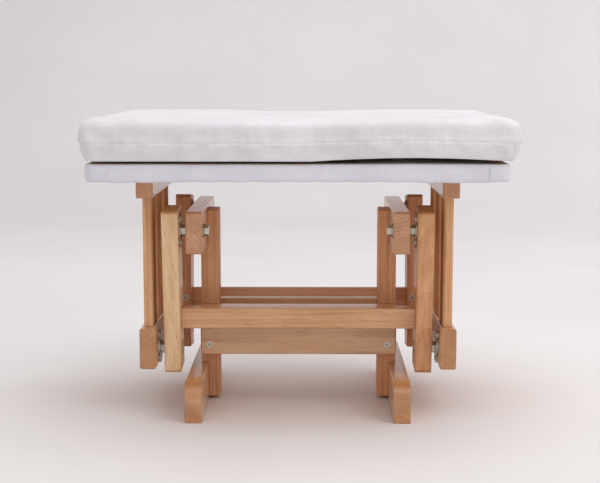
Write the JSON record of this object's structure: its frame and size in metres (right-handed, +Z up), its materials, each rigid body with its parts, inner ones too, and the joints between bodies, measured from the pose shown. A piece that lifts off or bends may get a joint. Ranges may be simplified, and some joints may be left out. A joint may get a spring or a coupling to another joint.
{
  "type": "glider ottoman",
  "caption": "Gliding footrest: cushioned seat board on slatted side frames, hung from a timber base by swing arms on ball bearings.",
  "frame": {"origin": "on the floor under the middle of the ottoman", "axes": "+X to the right seen from the front, +Y to the back along the glide, +Z up"},
  "size_m": [0.521, 0.385, 0.3785],
  "materials": {
    "rubberwood": "satin lacquer",
    "plywood": "raw",
    "zinc_steel": "zinc plated",
    "ball_steel": "polished",
    "board_fabric": "plain weave",
    "cushion_fabric": "plain weave",
    "foam": "open cell",
    "grip_strip": "hook and loop"
  },
  "bodies": {
    "base": {"left_foot_runner": "rubberwood", "right_foot_runner": "rubberwood", "left_base_post": "rubberwood", "right_base_post": "rubberwood", "left_pivot_rail": "rubberwood", "right_pivot_rail": "rubberwood", "front_stretcher": "rubberwood", "rear_stretcher": "rubberwood", "stretcher_screws": "zinc_steel", "post_joint_screws": "zinc_steel", "upper_pivot_bolts": "zinc_steel", "upper_bolt_washers": "zinc_steel", "upper_spacer_nuts": "zinc_steel", "upper_bearing_rings": "ball_steel", "upper_bearing_balls": "ball_steel"},
    "front_swing": {"front_left_arm": "rubberwood", "front_right_arm": "rubberwood", "front_cross_rail": "rubberwood", "front_rail_screws": "zinc_steel", "front_upper_bearing_plates": "zinc_steel", "front_upper_plate_screws": "zinc_steel", "front_lower_pivot_bolts": "zinc_steel", "front_lower_nuts": "zinc_steel", "front_lower_bearing_rings": "ball_steel", "front_lower_bearing_balls": "ball_steel"},
    "rear_swing": {"rear_left_arm": "rubberwood", "rear_right_arm": "rubberwood", "rear_cross_rail": "rubberwood", "rear_rail_screws": "zinc_steel", "rear_upper_bearing_plates": "zinc_steel", "rear_upper_plate_screws": "zinc_steel", "rear_lower_pivot_bolts": "zinc_steel", "rear_lower_nuts": "zinc_steel", "rear_lower_bearing_rings": "ball_steel", "rear_lower_bearing_balls": "ball_steel"},
    "seat": {"left_seat_top_rail": "rubberwood", "right_seat_top_rail": "rubberwood", "left_seat_bottom_rail": "rubberwood", "right_seat_bottom_rail": "rubberwood", "left_front_slat": "rubberwood", "left_middle_slat": "rubberwood", "left_rear_slat": "rubberwood", "right_front_slat": "rubberwood", "right_middle_slat": "rubberwood", "right_rear_slat": "rubberwood", "lower_bearing_plates": "zinc_steel", "lower_plate_screws": "zinc_steel", "seat_board": "plywood", "seat_board_cover": "board_fabric", "seat_board_screws": "zinc_steel", "cover_staples": "zinc_steel", "cushion_grip_strips": "grip_strip", "cushion_foam": "foam", "cushion_cover": "cushion_fabric"}
  },
  "joints": [
    {"name": "front_swing_pivot", "type": "hinge", "parent": "base", "child": "front_swing", "pos_m": [0, -0.0875, 0.232], "axis": [1, 0, 0], "range_deg": [-10, 10]},
    {"name": "rear_swing_pivot", "type": "hinge", "parent": "base", "child": "rear_swing", "pos_m": [0, 0.0875, 0.232], "axis": [1, 0, 0], "range_deg": [-10, 10]},
    {"name": "seat_pivot", "type": "hinge", "parent": "front_swing", "child": "seat", "pos_m": [0, -0.07087, 0.08142], "axis": [1, 0, 0], "range_deg": [-12.4, 12.4]}
  ],
  "couplings": [
    {"joint": "rear_swing_pivot", "follows": "front_swing_pivot", "ratio": 1},
    {"joint": "seat_pivot", "follows": "front_swing_pivot", "ratio": -1.23}
  ]
}
